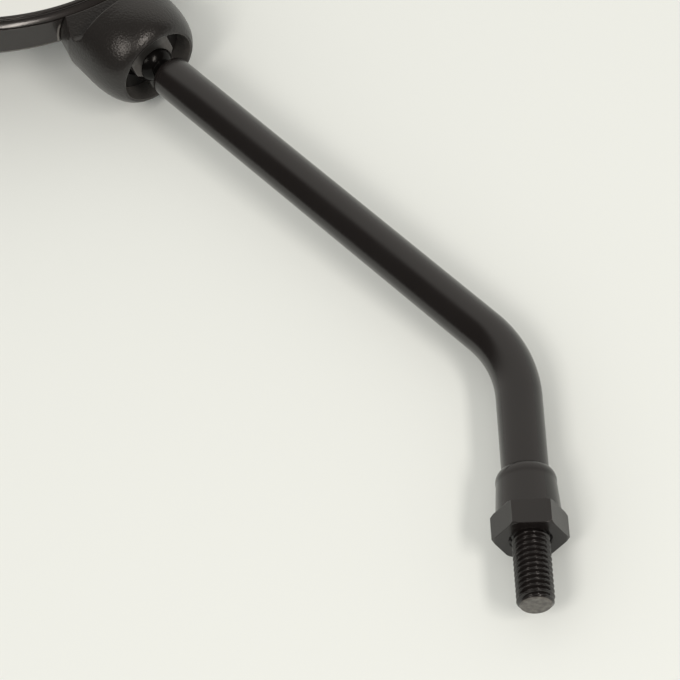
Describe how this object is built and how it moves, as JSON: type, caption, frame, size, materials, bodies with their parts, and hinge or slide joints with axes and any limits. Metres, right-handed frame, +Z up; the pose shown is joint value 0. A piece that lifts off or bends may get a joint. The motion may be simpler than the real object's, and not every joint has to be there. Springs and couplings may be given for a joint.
{
  "type": "motorcycle mirror",
  "caption": "Round rear-view mirror on a bent steel rod, with a ball joint that aims the head and a threaded stud with a lock nut that fixes it to a handlebar clamp.",
  "frame": {"origin": "centre of the lock nut's lower face, on the axis of the threaded stud", "axes": "+Z up the stud into the rod, the rod bends towards -X, the glass faces about -Y"},
  "size_m": [0.1885, 0.0449, 0.2761],
  "materials": {
    "black_paint": "gloss",
    "housing_plastic": "grained",
    "bezel_plastic": "satin",
    "socket_plastic": "satin",
    "seat_nylon": "smooth",
    "mirror_glass": "polished",
    "seal_foam": "matt foam"
  },
  "bodies": {
    "stem": {"stem_rod": "black_paint"},
    "nut": {"lock_nut": "black_paint"},
    "seat": {"friction_seat": "seat_nylon"},
    "insert": {"socket_insert": "socket_plastic"},
    "head": {"housing": "housing_plastic", "bezel": "bezel_plastic", "mirror_glass": "mirror_glass", "glass_seal": "seal_foam"}
  },
  "joints": [
    {"name": "nut_turn", "type": "hinge", "parent": "stem", "child": "nut", "pos_m": [0, 0, 0], "axis": [0, 0, 1], "continuous": true},
    {"name": "head_nod", "type": "hinge", "parent": "stem", "child": "seat", "pos_m": [-0.08043, 0, 0.14387], "axis": [0.7449, 0.2756, 0.6075], "range_deg": [-27, 13]},
    {"name": "head_sway", "type": "hinge", "parent": "seat", "child": "insert", "pos_m": [-0.08043, 0, 0.14387], "axis": [-0.289, 0.9541, -0.0785], "range_deg": [-15, 15]},
    {"name": "head_turn", "type": "hinge", "parent": "insert", "child": "head", "pos_m": [-0.08043, 0, 0.14387], "axis": [-0.6013, -0.1171, 0.7904], "continuous": true}
  ]
}
